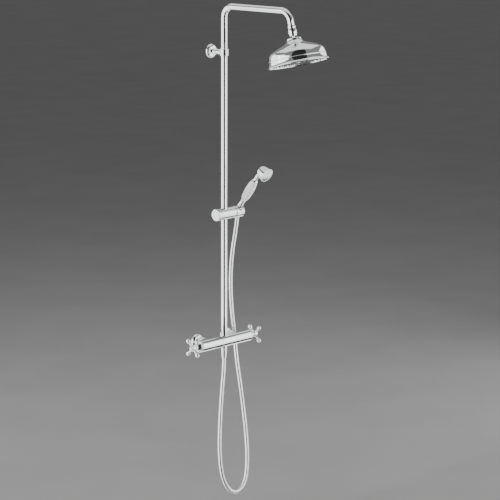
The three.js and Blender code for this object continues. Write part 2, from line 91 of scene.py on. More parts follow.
# The hose's route from the handset's cone down to the valve's outlet, in metres.
HOSE_ROUTE = [
    (0.066, -0.0674, 0.4524), (0.066, -0.066, 0.438), (0.0646, -0.063, 0.410), (0.0616, -0.0586, 0.372),
    (0.0596, -0.051, 0.325), (0.0606, -0.043, 0.270), (0.065, -0.036, 0.215), (0.073, -0.030, 0.150),
    (0.084, -0.025, 0.085), (0.0956, -0.0216, 0.034), (0.102, -0.0206, -0.006), (0.1066, -0.022, -0.056),
    (0.113, -0.025, -0.115), (0.125, -0.029, -0.195), (0.137, -0.033, -0.285), (0.1464, -0.037, -0.375),
    (0.1496, -0.040, -0.440), (0.146, -0.0434, -0.497), (0.136, -0.0466, -0.541), (0.117, -0.0494, -0.569),
    (0.091, -0.0516, -0.582), (0.064, -0.0534, -0.580), (0.038, -0.0546, -0.564), (0.016, -0.0556, -0.536),
    (0.0, -0.0566, -0.500), (-0.010, -0.0576, -0.458), (-0.0156, -0.0586, -0.408), (-0.0168, -0.0596, -0.350),
    (-0.0154, -0.0608, -0.290), (-0.0118, -0.0624, -0.225), (-0.0066, -0.0638, -0.160),
    (-0.0014, -0.0649, -0.105), (0.0, -0.065, -0.0624),
]


# ---------- camera ----------
def aim(obj, place, forward, upright=(0, 0, 1)):
    """Puts a camera or lamp at place so that it looks along forward, with upright to its top."""
    forward = Vector(forward).normalized()
    right = forward.cross(Vector(upright)).normalized()
    up = right.cross(forward)
    turn = Matrix((right, up, -forward)).transposed().to_4x4()
    obj.matrix_world = Matrix.Translation(place) @ turn


VIEW_ANGLE = math.radians(46.36)
VIEW_FALL = math.radians(11.04)
CAMERA_PLACE = (-5.584, -5.365, 1.833)
LENS_LENGTH = 158.93
SENSOR_WIDTH = 36
SIDEWAYS_SHIFT = 0.062
camera = bpy.data.objects.new("camera", bpy.data.cameras.new("camera"))
scene.collection.objects.link(camera)
camera.data.lens = LENS_LENGTH
camera.data.sensor_width = SENSOR_WIDTH
camera.data.shift_x = SIDEWAYS_SHIFT
camera.data.clip_end = 200
level = Vector((math.sin(VIEW_ANGLE), math.cos(VIEW_ANGLE), 0))
looking_along = level * math.cos(VIEW_FALL) - Vector((0, 0, math.sin(VIEW_FALL)))
aim(camera, CAMERA_PLACE, looking_along)
scene.camera = camera


# ---------- finishes ----------
class Nodes:
    """Short calls for building one material's node tree."""

    def __init__(self, name):
        self.material = bpy.data.materials.new(name)
        self.material.use_nodes = True
        self.tree = self.material.node_tree
        self.shader = self.tree.nodes["Principled BSDF"]
        coordinates = self.tree.nodes.new("ShaderNodeTexCoord")
        self.place = coordinates.outputs["Object"]

    def join(self, start, end):
        self.tree.links.new(start, end)

    def stretched(self, scale):
        mapping = self.tree.nodes.new("ShaderNodeMapping")
        mapping.inputs["Scale"].default_value = scale
        self.join(self.place, mapping.inputs["Vector"])
        return mapping.outputs["Vector"]

    def noise(self, scale, detail=4, vector=None):
        node = self.tree.nodes.new("ShaderNodeTexNoise")
        node.inputs["Scale"].default_value = scale
        node.inputs["Detail"].default_value = detail
        self.join(vector or self.place, node.inputs["Vector"])
        return node.outputs["Fac"]

    def cells(self, scale):
        node = self.tree.nodes.new("ShaderNodeTexVoronoi")
        node.inputs["Scale"].default_value = scale
        self.join(self.place, node.inputs["Vector"])
        return node.outputs["Distance"]

    def ranged(self, value, low, high, to_low, to_high):
        node = self.tree.nodes.new("ShaderNodeMapRange")
        node.interpolation_type = "SMOOTHSTEP"
        limits = {"From Min": low, "From Max": high, "To Min": to_low, "To Max": to_high}
        for socket, number in limits.items():
            node.inputs[socket].default_value = number
        self.join(value, node.inputs["Value"])
        return node.outputs["Result"]

    def calculated(self, operation, first, second):
        node = self.tree.nodes.new("ShaderNodeMath")
        node.operation = operation
        for socket, value in zip(node.inputs, (first, second)):
            if isinstance(value, (int, float)):
                socket.default_value = value
            else:
                self.join(value, socket)
        return node.outputs["Value"]

    def blended(self, share, first, second):
        node = self.tree.nodes.new("ShaderNodeMix")
        node.data_type = "RGBA"
        self.join(share, node.inputs["Factor"])
        node.inputs["A"].default_value = (*first, 1)
        node.inputs["B"].default_value = (*second, 1)
        return node.outputs["Result"]

    def raised(self, height, strength, distance):
        node = self.tree.nodes.new("ShaderNodeBump")
        node.inputs["Strength"].default_value = strength
        node.inputs["Distance"].default_value = distance
        self.join(height, node.inputs["Height"])
        self.join(node.outputs["Normal"], self.shader.inputs["Normal"])


def polished(name, bright, dull, smooth, rough):
    """Plated metal: even reflections, faint wiping marks and a few dried water spots."""
    nodes = Nodes(name)
    nodes.shader.inputs["Metallic"].default_value = 1
    smears = nodes.ranged(nodes.noise(14, 5), 0.42, 0.72, 0, 1)
    spots = nodes.ranged(nodes.cells(95), 0.10, 0.16, 1, 0)
    few = nodes.ranged(nodes.noise(23, 2), 0.55, 0.62, 0, 1)
    dried = nodes.calculated("MULTIPLY", spots, few)
    wear = nodes.calculated("MAXIMUM", nodes.calculated("MULTIPLY", smears, 0.6), dried)
    nodes.join(nodes.blended(wear, bright, dull), nodes.shader.inputs["Base Color"])
    nodes.join(nodes.ranged(wear, 0, 1, smooth, rough), nodes.shader.inputs["Roughness"])
    nodes.raised(nodes.noise(160, 2), 0.02, 0.00003)
    return nodes.material


def machined(name, bright, dull, smooth, rough, direction):
    """Turned or brushed metal: fine lines along one direction and darker patches."""
    nodes = Nodes(name)
    nodes.shader.inputs["Metallic"].default_value = 1
    lines = nodes.noise(700, 3, nodes.stretched(direction))
    patches = nodes.ranged(nodes.noise(60, 6), 0.35, 0.7, 0, 1)
    nodes.join(nodes.blended(patches, bright, dull), nodes.shader.inputs["Base Color"])
    nodes.join(nodes.ranged(lines, 0.3, 0.7, smooth, rough), nodes.shader.inputs["Roughness"])
    nodes.raised(lines, 0.25, 0.0001)
    return nodes.material


def glazed(name, white, shade):
    """Fired glaze: a clear glossy coat over a body that pools slightly darker."""
    nodes = Nodes(name)
    nodes.shader.inputs["Coat Weight"].default_value = 1
    nodes.shader.inputs["Coat Roughness"].default_value = 0.03
    pooled = nodes.ranged(nodes.noise(45, 4), 0.3, 0.75, 0, 1)
    specks = nodes.ranged(nodes.cells(420), 0.03, 0.07, 1, 0)
    pool_tone = nodes.calculated("MULTIPLY", pooled, 0.5)
    speck_tone = nodes.calculated("MULTIPLY", specks, 0.4)
    tone = nodes.calculated("MAXIMUM", pool_tone, speck_tone)
    nodes.join(nodes.blended(tone, white, shade), nodes.shader.inputs["Base Color"])
    nodes.join(nodes.ranged(pooled, 0, 1, 0.12, 0.24), nodes.shader.inputs["Roughness"])
    nodes.raised(nodes.noise(75, 2), 0.12, 0.0004)
    return nodes.material


def moulded(name, colour, shade, smooth, rough, grain):
    """Moulded rubber or plastic: a fine grain and chalky patches."""
    nodes = Nodes(name)
    patches = nodes.ranged(nodes.noise(70, 5), 0.35, 0.75, 0, 1)
    nodes.join(nodes.blended(patches, colour, shade), nodes.shader.inputs["Base Color"])
    nodes.join(nodes.ranged(patches, 0, 1, smooth, rough), nodes.shader.inputs["Roughness"])
    nodes.raised(nodes.noise(grain, 3), 0.3, 0.0002)
    return nodes.material


FINISHES = {
    "chrome": polished("polished_chrome", (0.82, 0.83, 0.84), (0.74, 0.75, 0.76), 0.045, 0.15),
    "hose_metal": polished("wound_chrome", (0.80, 0.81, 0.82), (0.68, 0.69, 0.70), 0.10, 0.24),
    "brass": machined("turned_brass", (0.68, 0.52, 0.27), (0.50, 0.37, 0.18), 0.22, 0.42, (0.1, 1, 1)),
    "steel": machined("brushed_steel", (0.60, 0.61, 0.62), (0.46, 0.47, 0.48), 0.25, 0.45, (1, 1, 0.1)),
    "porcelain": glazed("glazed_porcelain", (0.84, 0.84, 0.83), (0.74, 0.74, 0.73)),
    "rubber": moulded("black_rubber", (0.030, 0.030, 0.032), (0.055, 0.055, 0.056), 0.55, 0.75, 1200),
    "nylon": moulded("natural_nylon", (0.70, 0.69, 0.65), (0.62, 0.61, 0.57), 0.35, 0.55, 900),
    "silicone": moulded("grey_silicone", (0.09, 0.095, 0.10), (0.14, 0.145, 0.15), 0.5, 0.7, 1500),
}

CAD_FINISHES = {
    "brass": [
        "diverter_cartridge", "diverter_spindle", "temperature_cartridge", "temperature_spindle",
        "hose_outlet_nipple", "riser_spigot", "pipe_joiner", "bracket_wall_base", "rose_lock_nut",
        "handset_core_tube",
    ],
    "steel": ["diverter_handle_screw", "temperature_handle_screw", "clamp_screw", "slider_lock_screw"],
    "rubber": ["union_washer_left", "union_washer_right", "hose_base_washer", "riser_o_ring", "rose_gasket"],
    "nylon": ["ball_seat"],
}
for finish, nodes_of_finish in CAD_FINISHES.items():
    for node in nodes_of_finish:
        for material_slot in bpy.data.objects[node].material_slots:
            material_slot.material = FINISHES[finish]


# ---------- profiles ----------
def rounded(points, radius=0.7, steps=4):
    """A polyline with each inner corner turned into a small curve."""
    result = [points[0]]
    for before, corner, after in zip(points, points[1:], points[2:]):
        corner, before, after = Vector(corner), Vector(before), Vector(after)
        back, ahead = before - corner, after - corner
        size = min(radius, 0.45 * back.length, 0.45 * ahead.length)
        start = corner + back.normalized() * size
        end = corner + ahead.normalized() * size
        for k in range(steps + 1):
            t = k / steps
            result.append(start * (1 - t) ** 2 + corner * 2 * t * (1 - t) + end * t**2)
    result.append(points[-1])
    return [tuple(point) for point in result]


def rounded_ring(points, radius=0.7, steps=4):
    """The same for a closed outline."""
    looped = [points[-1], *points, points[0]]
    return rounded(looped, radius, steps)[1:-1]


def flowing(points, steps=5):
    """A smooth curve through every point."""
    points = [Vector(point) for point in points]
    padded = [points[0] * 2 - points[1], *points, points[-1] * 2 - points[-2]]
    result = []
    for a, b, c, d in zip(padded, padded[1:], padded[2:], padded[3:]):
        for k in range(steps):
            t = k / steps
            bend = (a * 2 - b * 5 + c * 4 - d) * t**2 + (b * 3 - a - c * 3 + d) * t**3
            result.append((b * 2 + (c - a) * t + bend) * 0.5)
    result.append(points[-1])
    return [tuple(point) for point in result]


def on_arc(radius, start, end, steps):
    """Points of a ball's outline about the origin, from one angle to another."""
    angles = [start + (end - start) * k / steps for k in range(steps + 1)]
    return [(radius * math.cos(angle), radius * math.sin(angle)) for angle in angles]


# ---------- meshes ----------
def at(x, y, z):
    return Matrix.Translation((x * MM, y * MM, z * MM))


def turn_about(axis, angle):
    return Matrix.Rotation(angle, 4, axis)


OUT_OF_WALL = turn_about("X", math.pi / 2)
ALONG_X = turn_about("Y", math.pi / 2)
HERE = Matrix.Identity(4)


def lathe(profile, segments=96, closed=False, shape=None):
    """A turned surface about Z. shape may change the radius round the axis."""
    rings = bmesh.new()
    rows = []
    for radius, height in profile:
        if radius < 1e-4:
            rows.append([rings.verts.new((0, 0, height * MM))] * segments)
            continue
        row = []
        for k in range(segments):
            angle = 2 * math.pi * k / segments
            reach = (shape(radius, height, angle) if shape else radius) * MM
            row.append(rings.verts.new((reach * math.cos(angle), reach * math.sin(angle), height * MM)))
        rows.append(row)
    pairs = list(zip(rows, rows[1:]))
    if closed:
        pairs.append((rows[-1], rows[0]))
    for lower, upper in pairs:
        for k in range(segments):
            corners_of_face = [lower[k], lower[k - 1], upper[k - 1], upper[k]]
            distinct = list(dict.fromkeys(corners_of_face))
            if len(distinct) > 2:
                rings.faces.new(distinct)
    return rings


def swept(points, radii, segments, across):
    """A tube with a ring at each point. No part of the path runs along the direction across."""
    tube = bmesh.new()
    rows = []
    side = Vector(across)
    for k, (point, radius) in enumerate(zip(points, radii)):
        heading = (points[min(k + 1, len(points) - 1)] - points[max(k - 1, 0)]).normalized()
        side = (side - heading * side.dot(heading)).normalized()
        other = heading.cross(side)
        row = []
        for step in range(segments):
            angle = 2 * math.pi * step / segments
            row.append(tube.verts.new(point + (side * math.cos(angle) + other * math.sin(angle)) * radius))
        rows.append(row)
    for lower, upper in zip(rows, rows[1:]):
        for k in range(segments):
            tube.faces.new([lower[k - 1], lower[k], upper[k], upper[k - 1]])
    tube.faces.new(rows[0])
    tube.faces.new(rows[-1])
    return tube


def combined(pieces):
    """One mesh from several, each moved by its own matrix."""
    whole = bmesh.new()
    for single, place in pieces:
        part = bpy.data.meshes.new("part")
        single.to_mesh(part)
        part.transform(place)
        whole.from_mesh(part)
        single.free()
        bpy.data.meshes.remove(part)
    return whole


def finished_mesh(name, shape):
    bmesh.ops.recalc_face_normals(shape, faces=shape.faces)
    for face in shape.faces:
        face.smooth = True
    mesh = bpy.data.meshes.new(name)
    shape.to_mesh(mesh)
    shape.free()
    return mesh


def shown(name, shape, finish):
    obj = bpy.data.objects.new(name, finished_mesh(name, shape))
    scene.collection.objects.link(obj)
    obj.data.materials.append(FINISHES[finish])
    return obj


def piece(name, shape, body, finish, place=HERE, nodes=(), cutters=()):
    """One visible piece on its CAD body, with cutters taken out of it."""
    obj = shown(name, shape, finish)
    if cutters:
        cut_away(obj, cutters)
    obj.data.set_sharp_from_angle(angle=math.radians(38))
    smoothing = obj.modifiers.new("even_shading", "WEIGHTED_NORMAL")
    smoothing.keep_sharp = True
    obj.matrix_world = place
    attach(obj, body)
    if nodes:
        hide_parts(*nodes)
    return obj


def cut_away(obj, cutters):
    """Takes each cutter, given as (shape, place), out of the piece for good."""
    tool = shown("tool", combined(cutters), "chrome")
    boolean = obj.modifiers.new("cut", "BOOLEAN")
    boolean.operation = "DIFFERENCE"
    boolean.solver = "EXACT"
    boolean.use_self = True
    boolean.object = tool
    bpy.context.view_layer.update()
    evaluated = obj.evaluated_get(bpy.context.evaluated_depsgraph_get())
    result = bpy.data.meshes.new_from_object(evaluated)
    obj.modifiers.clear()
    obj.data = result
    for polygon in result.polygons:
        polygon.use_smooth = True
    tool_mesh = tool.data
    bpy.data.objects.remove(tool)
    bpy.data.meshes.remove(tool_mesh)


def knurled(start, end, count, depth):
    """A shape for lathe(): fine flutes round the rim between two heights."""
    def shape(radius, height, angle):
        inside = start < height < end
        return radius - depth * (0.5 - 0.5 * math.cos(count * angle)) if inside else radius
    return shape


def stations(start, end, steps):
    """Even heights between two ends of a straight run."""
    return [start + (end - start) * k / steps for k in range(1, steps)]


# ---------- wall inlets ----------
NUT_ACROSS_FLATS = 34


def hexagonal(radius, height, angle):
    within = (angle + math.pi / 6) % (math.pi / 3) - math.pi / 6
    return min(radius, NUT_ACROSS_FLATS / 2 / math.cos(within))


for side, x in (("left", -INLET_SPACING / 2), ("right", INLET_SPACING / 2)):
    inlet = at(x, 0, 0) @ OUT_OF_WALL
    dish = flowing([(27, 2.2), (26.5, 4.6), (25.2, 7.2), (22.6, 10), (19, 12.2), (13.7, 13.8)])
    rosette = [(25.4, 0), (26.8, 0), (27, 0.5), *dish, (13.6, 12.6), (20.2, 9.8), (24, 6)]
    rosette_shape = lathe(rosette, closed=True)
    piece(f"rosette_{side}", rosette_shape, "column", "chrome", inlet, [f"wall_rosette_{side}"])
    bevel = [(15.2, 21), (18.6, 22.6), (19.6, 24), (19.9, 26), (19.9, 33), (18.8, 35.4), (16.6, 37)]
    bore = [(10.4, 37), (10.4, 33.4), (13.4, 33.4), (13.4, 21)]
    nut = lathe(rounded_ring([*bevel, *bore], 0.5), 144, True, hexagonal)
    piece(f"inlet_nut_{side}", nut, "column", "chrome", inlet, [f"union_nut_{side}"])
    union = rounded_ring([(7.5, 0), (12.5, 0), (12.5, 20), (13, 20), (13, 27.5), (7.5, 27.5)], 0.3)
    piece(f"inlet_union_{side}", lathe(union, 64, True), "column", "chrome", inlet, [f"wall_union_{side}"])

# ---------- bar valve ----------
axis_place = at(0, -WALL_TO_AXIS, 0)
POCKET_RADIUS = 17
POCKET_START = 66
bar_profile = rounded([
    (0, -POCKET_START), (POCKET_RADIUS, -POCKET_START), (POCKET_RADIUS, -BAR_HALF_LENGTH),
    (BAR_RADIUS, -BAR_HALF_LENGTH), (BAR_RADIUS, BAR_HALF_LENGTH),
    (POCKET_RADIUS, BAR_HALF_LENGTH), (POCKET_RADIUS, POCKET_START), (0, POCKET_START),
], 0.6)
stub = rounded_ring([(6, 30.1), (12.5, 30.1), (12.5, 33.1), (10, 33.1), (10, 52), (6, 52)], 0.5)
boss = rounded_ring([(6.8, -23), (10, -23), (10, -15), (6.8, -15)], 0.8)
valve = combined([
    (lathe(bar_profile, 128), axis_place @ ALONG_X),
    (lathe(stub, 64, True), at(-INLET_SPACING / 2, 0, 0) @ OUT_OF_WALL),
    (lathe(stub, 64, True), at(INLET_SPACING / 2, 0, 0) @ OUT_OF_WALL),
    (lathe(boss, 64, True), axis_place),
])
piece("valve_bar", valve, "column", "chrome", HERE, ["valve_body"])

end_outline = [(13, -7.7), (21, -7.7), (21, -6.6), (20.4, -6.2), (20.4, -5.6), (21, -5.2), (21, -3.4)]
end_ring = rounded_ring([*end_outline, (20.2, -1.8), (18.6, -1), (13, -1)], 0.4)
hub_foot = [(4.4, 0), (14, 0), (14.6, 0.9)]
hub_waist = flowing([
    (14.6, 1.4), (12.3, 4), (10.4, 7.4), (8.6, 11), (8, 14), (8.2, 16.4), (8.8, 18.6), (10.6, 21.4),
])
hub_head = [(10.8, 22.4), (10.8, 33.4), (10, 35.6), (7.9, 37), (7.6, 36.6), (7.6, 34), (4.6, 34)]
hub_bore = [(4.6, 27), (2.4, 27), (2.4, 19), (4.4, 19)]
finial = flowing([
    (4.4, 6), (3.5, 11), (3.1, 15), (3.3, 19), (3.9, 22.4), (5.4, 25.2), (6.8, 28), (7.3, 31.4), (6.5, 35.4),
    (4.8, 37.9), (2.6, 38.9), (0, 39.1),
], 4)
button = [(0, 34.3), (7.2, 34.3), (7.3, 34.6), (7.3, 37)]
button_top = flowing([(7.3, 37), (6.6, 38.3), (5.2, 39.2), (3, 39.8), (0, 40)])
for side, role, direction in (("left", "diverter", -1), ("right", "temperature", 1)):
    valve_end = at(direction * HANDLE_START, -WALL_TO_AXIS, 0) @ turn_about("Y", direction * math.pi / 2)
    end_piece = lathe(end_ring, 96, True)
    piece(f"bar_end_ring_{side}", end_piece, "column", "chrome", valve_end, [f"bar_end_{side}"])
    shapes = [(lathe([*hub_foot, *hub_waist, *rounded(hub_head, 0.8)[1:], *hub_bore], 96, True), HERE)]
    for quarter in range(4):
        angle = math.pi / 4 + quarter * math.pi / 2
        outward = at(0, 0, HANDLE_CROSS_HEIGHT) @ turn_about("Z", angle) @ turn_about("X", math.pi / 2)
        shapes.append((lathe([(0, 6), *finial], 48), outward))
    piece(f"{role}_cross", combined(shapes), role, "chrome", valve_end, [f"{role}_cross_handle"])
    cap_piece = lathe([*button, *button_top], 64)
    piece(f"{role}_button", cap_piece, role, "porcelain", valve_end, [f"{role}_index_button"])

nut_head = [(6.8, -23.3), (10, -23.3), (10.5, -24.4), (10.5, -25.4)]
nut_flutes = [(10.5, height) for height in stations(-25.4, -35, 12)]
nut_neck = [(10.5, -35), (10.5, -36), (9.9, -37), (10.2, -38.2)]
nut_sleeve = [(9.9, -42), (9.4, -49), (8.9, -56), (8.5, -61), (8, -62)]
nut_bore = [(4.5, -62), (4.5, -36.8), (6.8, -36.8)]
nut_profile = [*nut_head, *nut_flutes, *nut_neck, *nut_sleeve, *nut_bore]
outlet_nut = lathe(nut_profile, 144, True, knurled(-34.6, -25.8, 36, 0.3))
outlet_nut_piece = piece("hose_outlet_nut", outlet_nut, "column", "chrome", axis_place, ["hose_base_nut"])

# ---------- riser, bracket and arm ----------
RISER_START = 17
RISER_END = BRACKET_HEIGHT - GAP
PIPE_BORE = PIPE_RADIUS - 1
riser = rounded_ring([
    (PIPE_BORE, RISER_START), (PIPE_RADIUS, RISER_START), (PIPE_RADIUS, RISER_END), (PIPE_BORE, RISER_END),
], 0.1)
piece("riser", lathe(riser, 96, True), "column", "chrome", axis_place, ["riser_pipe"])

bracket = at(0, 0, BRACKET_HEIGHT) @ OUT_OF_WALL
bracket_dish = flowing([
    (24.5, 2), (24.1, 4.2), (22.8, 6.2), (20.6, 8.2), (17.6, 9.7), (13.4, 10.9), (9, 11.6),
])
bracket_rosette = [(23, 0), (24.3, 0), (24.5, 0.5), *bracket_dish, (8.9, 10.4), (17, 8.4), (21.4, 5.2)]
dish_piece = lathe(bracket_rosette, 96, True)
piece("bracket_dish", dish_piece, "column", "chrome", bracket, ["bracket_rosette"])
stem_foot = [(0, 20), (4.3, 20), (4.3, 5.4), (8.5, 5.4), (8.5, 16.4)]
stem_beads = flowing([
    (8.5, 16.4), (7.4, 18.6), (7, 20.4), (7, 25.6), (7.6, 27), (9.1, 28.2), (9.5, 30), (9.1, 31.8),
    (7.9, 33.4), (7.8, 36.8), (8.6, 38.2), (9.1, 40), (9.1, 42), (8.5, 44), (8, 45.4), (8, 51),
], 4)
post_piece = lathe([*stem_foot, *stem_beads, (0, 51)], 72)
piece("bracket_post", post_piece, "column", "chrome", bracket, ["bracket_stem"])
clamp_bore = PIPE_RADIUS + GAP
clamp_lower_edge = [(clamp_bore, -12), (14.8, -12), (15.6, -11), (15.6, -9.6), (15.1, -9.2)]
clamp_upper_edge = [(15.1, 9.2), (15.6, 9.6), (15.6, 11), (14.8, 12), (clamp_bore, 12)]
clamp = lathe(rounded_ring([*clamp_lower_edge, *clamp_upper_edge], 0.4), 96, True)
clamp_place = at(0, -WALL_TO_AXIS, BRACKET_HEIGHT)
screw_hole = (lathe([(0, 8), (2.4, 8), (2.4, 20), (0, 20)], 32), ALONG_X)
piece("bracket_ring", clamp, "column", "chrome", clamp_place, ["bracket_clamp"], [screw_hole])


def arm_centres():
    """The bent pipe's centre line, in the plane of the riser and the rose."""
    fall = ARM_SECOND_BEND * (1 - math.sin(HEAD_TILT))
    ball_height = ARM_HEIGHT - fall - BALL_BELOW_BEND
    end_length = BALL_BELOW_BEND / math.cos(HEAD_TILT)
    bend_reach = ARM_FIRST_BEND + ARM_SECOND_BEND * math.cos(HEAD_TILT)
    straight = BALL_REACH - bend_reach - end_length * math.sin(HEAD_TILT)
    first_centre = (ARM_FIRST_BEND, ARM_HEIGHT - ARM_FIRST_BEND)
    second_centre = (ARM_FIRST_BEND + straight, ARM_HEIGHT - ARM_SECOND_BEND)
    line = [(0, BRACKET_HEIGHT + GAP), (0, BRACKET_HEIGHT + 2), (0, first_centre[1] - 2)]
    bend_steps = 28
    for k in range(bend_steps + 1):
        angle = math.pi - math.pi / 2 * k / bend_steps
        reach = first_centre[0] + ARM_FIRST_BEND * math.cos(angle)
        line.append((reach, first_centre[1] + ARM_FIRST_BEND * math.sin(angle)))
    for k in range(bend_steps + 1):
        angle = math.pi / 2 - (math.pi / 2 - HEAD_TILT) * k / bend_steps
        reach = second_centre[0] + ARM_SECOND_BEND * math.cos(angle)
        line.append((reach, second_centre[1] + ARM_SECOND_BEND * math.sin(angle)))
    last = end_length - PIPE_END_ABOVE_BALL
    line.append((line[-1][0] + last * math.sin(HEAD_TILT), line[-1][1] - last * math.cos(HEAD_TILT)))
    return [Vector((0, -(WALL_TO_AXIS + reach) * MM, height * MM)) for reach, height in line], ball_height


arm_line, BALL_HEIGHT = arm_centres()
arm = swept(arm_line, [PIPE_RADIUS * MM] * len(arm_line), 96, (1, 0, 0))
piece("overhead_arm", arm, "column", "chrome", HERE, ["shower_arm"])

# ---------- overhead rose ----------
rose_place = at(0, -WALL_TO_AXIS - BALL_REACH, BALL_HEIGHT) @ turn_about("X", -HEAD_TILT)
collar = rounded_ring([(11.3, 14.4), (12.6, 14.4), (13.1, 16), (13.1, 20), (12.3, 23.6), (11.3, 23.6)], 0.5)
piece("arm_end_collar", lathe(collar, 72, True), "column", "chrome", rose_place, ["arm_collar"])
seat_radius = BALL_RADIUS + GAP
nut_seat = on_arc(seat_radius, math.asin(-5 / seat_radius), math.asin(-2.5 / seat_radius), 6)
nut_outside = flowing([
    (12, 14), (13, 11), (13.8, 8), (14.5, 4), (14.6, 0), (14.2, -4), (13.2, -8), (11.5, -12),
], 4)
ball_nut = lathe([(9.4, -12), *nut_seat, (11.3, -2.5), (11.3, 14), *nut_outside], 96, True)
piece("ball_joint_nut", ball_nut, "column", "chrome", rose_place, ["ball_nut"])
ball_outline = on_arc(BALL_RADIUS, -math.acos(4.5 / BALL_RADIUS), math.acos(3 / BALL_RADIUS), 24)
ball = lathe([(3, -30), (6.6, -30), (6.6, -17.4), (4.5, -17.4), *ball_outline], 72, True)
piece("ball_and_neck", ball, "rose", "chrome", rose_place, ["swivel_ball"])

bell_neck = rounded([(7.1, -17.6), (22.2, -18.6), (24.4, -20.2), (24.8, -23.6)], 0.9)
bell_crown = flowing([
    (24.8, -23.6), (27, -28.6), (33, -34.6), (41, -39), (52, -43.2), (67.4, -49.6), (82, -56.6), (91, -62.8),
    (95.6, -70), (97.8, -78), (99, -85.4),
], 8)
bell_bead = flowing([(99, -85.4), (100.3, -86), (100.9, -87.2), (100.4, -88.4), (99.5, -89)], 4)
bell_foot = flowing([(99.5, -89), (100.5, -94.6), (102, -100.2), (104.4, -103.6), (107, -105.2)], 8)
bell_rim = [(HEAD_RADIUS, -105.8), (HEAD_RADIUS, -107), (107.2, -HEAD_DEPTH), (104, -HEAD_DEPTH)]
bell_inside = flowing([
    (104, -HEAD_DEPTH), (101.4, -104), (98.8, -100.4), (95.8, -78), (89, -64.4), (81, -58.8), (51, -45.4),
    (31.4, -36.4), (22.4, -25), (20, -21.6),
], 4)
bell_outside = [*bell_neck, *bell_crown, *bell_bead, *bell_foot, *bell_rim]
bell = lathe([*bell_outside, *bell_inside, (7.1, -21.6)], 192, True)
piece("rose_shell", bell, "rose", "chrome", rose_place, ["rose_bell"])


def ring_places(rings):
    """Even places round each ring, as the nozzles stand."""
    places = []
    for radius, count in rings:
        for k in range(count):
            angle = 2 * math.pi * (k + 0.5) / count
            places.append(at(radius * math.cos(angle), radius * math.sin(angle), 0))
    return places


def holes(rings, radius, bottom, top):
    outline = [(0, bottom), (radius, bottom), (radius, top), (0, top)]
    return [(lathe(outline, 20), place) for place in ring_places(rings)]


plate_centre = [(0, -103.8), (6, -103.8), (7, -104.4), (9, -104.4), (10, -103.8)]
plate_rim = [(97.4, -103.8), (98, -103.4), (98, -101.4), (0, -101.4)]
plate = lathe([*plate_centre, *plate_rim], 144)
plate_holes = holes(NOZZLE_RINGS, 2.7, -105.5, -100)
piece("rose_face", plate, "rose", "chrome", rose_place, ["rose_spray_plate"], plate_holes)
mat = [(0, -101.1), (93, -101.1), (93, -98.6), (0, -98.6)]
nozzle_side = [(0, -100), (2.3, -100), (2.3, -104.4), (1.9, -105.4)]
nozzle_tip = [(1.5, -106.6), (0.8, -106.6), (0.7, -105), (0, -105)]
nozzle = [*nozzle_side, *nozzle_tip]
jets = [(lathe(mat, 96), HERE)]
jets += [(lathe(nozzle, 16), place) for place in ring_places(NOZZLE_RINGS)]
piece("rose_jets", combined(jets), "rose", "silicone", rose_place, ["rose_nozzle_mat"])

# ---------- slider and holder ----------
slider_place = at(0, -WALL_TO_AXIS, SLIDER_HEIGHT)
barrel_radius = SLIDER_RADIUS - 0.5
barrel = rounded([(0, -28.7), (barrel_radius, -28.7), (barrel_radius, 45), (0, 45)], 0.7)
slider_cuts = [
    (lathe([(0, 26), (8.3, 26), (8.3, 46), (0, 46)], 48), ALONG_X),
    (lathe([(0, -30), (4.3, -30), (4.3, -5), (0, -5)], 32), ALONG_X),
    (lathe([(0, -25), (BUSH_RADIUS + GAP, -25), (BUSH_RADIUS + GAP, 25), (0, 25)], 72), HERE),
]
sliding_body = combined([(lathe(barrel, 96), ALONG_X)])
piece("slider_barrel", sliding_body, "slider", "chrome", slider_place, ["slider_body"], slider_cuts)
bush = rounded_ring([(clamp_bore, -15), (BUSH_RADIUS, -15), (BUSH_RADIUS, 15), (clamp_bore, 15)], 0.5)
piece("slider_sleeve", lathe(bush, 64, True), "carriage", "nylon", slider_place, ["slider_bush"])

knob_face = [(0, -43.4), (19, -43.4), (SLIDER_RADIUS, -41.8), (SLIDER_RADIUS, -41)]
knob_rim = [(SLIDER_RADIUS, height) for height in stations(-41, -32, 10)]
knob_back = [(SLIDER_RADIUS, -32), (SLIDER_RADIUS, -30.6), (19.6, -29), (4.4, -29), (4.4, -37), (0, -37)]
knob_profile = [*rounded(knob_face, 0.8), *knob_rim, *rounded(knob_back, 0.5)]
knob = lathe(knob_profile, 240, False, knurled(-40.8, -32.4, 48, 0.22))
piece("lock_knob_face", knob, "lock_knob", "chrome", slider_place @ ALONG_X, ["slider_lock_knob"])

washer = lathe(rounded_ring([(8.4, 45.3), (17, 45.3), (17, 46.7), (8.4, 46.7)], 0.3), 64, True)
piece("friction_washer", washer, "slider", "rubber", slider_place @ ALONG_X, ["holder_friction_ring"])
cup_outline = [(0, 29), (8, 29), (8, 47), (19.8, 47), (SLIDER_RADIUS, 48.2), (SLIDER_RADIUS, 82), (0, 82)]
in_cup = at(HANDSET_OFFSET, 0, 0)
cup_cuts = [
    (lathe([(0, -4), (9.6, -4), (12.4, 30), (0, 30)], 72), in_cup @ turn_about("X", HANDSET_LEAN)),
    (lathe([(0, -30), (8.6, -30), (8.6, 5), (0, 5)], 64),
     in_cup @ at(0, HOSE_ENTRY_SHIFT, 0) @ turn_about("X", HOSE_ENTRY_LEAN)),
    (lathe([(0, -10), (8.6, -10), (8.6, 40), (0, 40)], 64),
     in_cup @ turn_about("X", HANDSET_LEAN) @ at(0, -5.3, 0)),
]
cup = combined([(lathe(rounded(cup_outline, 0.6), 96), ALONG_X)])
piece("holder_cup", cup, "holder", "chrome", slider_place, ["handset_holder"], cup_cuts)
cap = rounded([(0, 82.3), (SLIDER_RADIUS, 82.3), (SLIDER_RADIUS, 85), (19, 87.4), (0, 87.4)], 0.9)
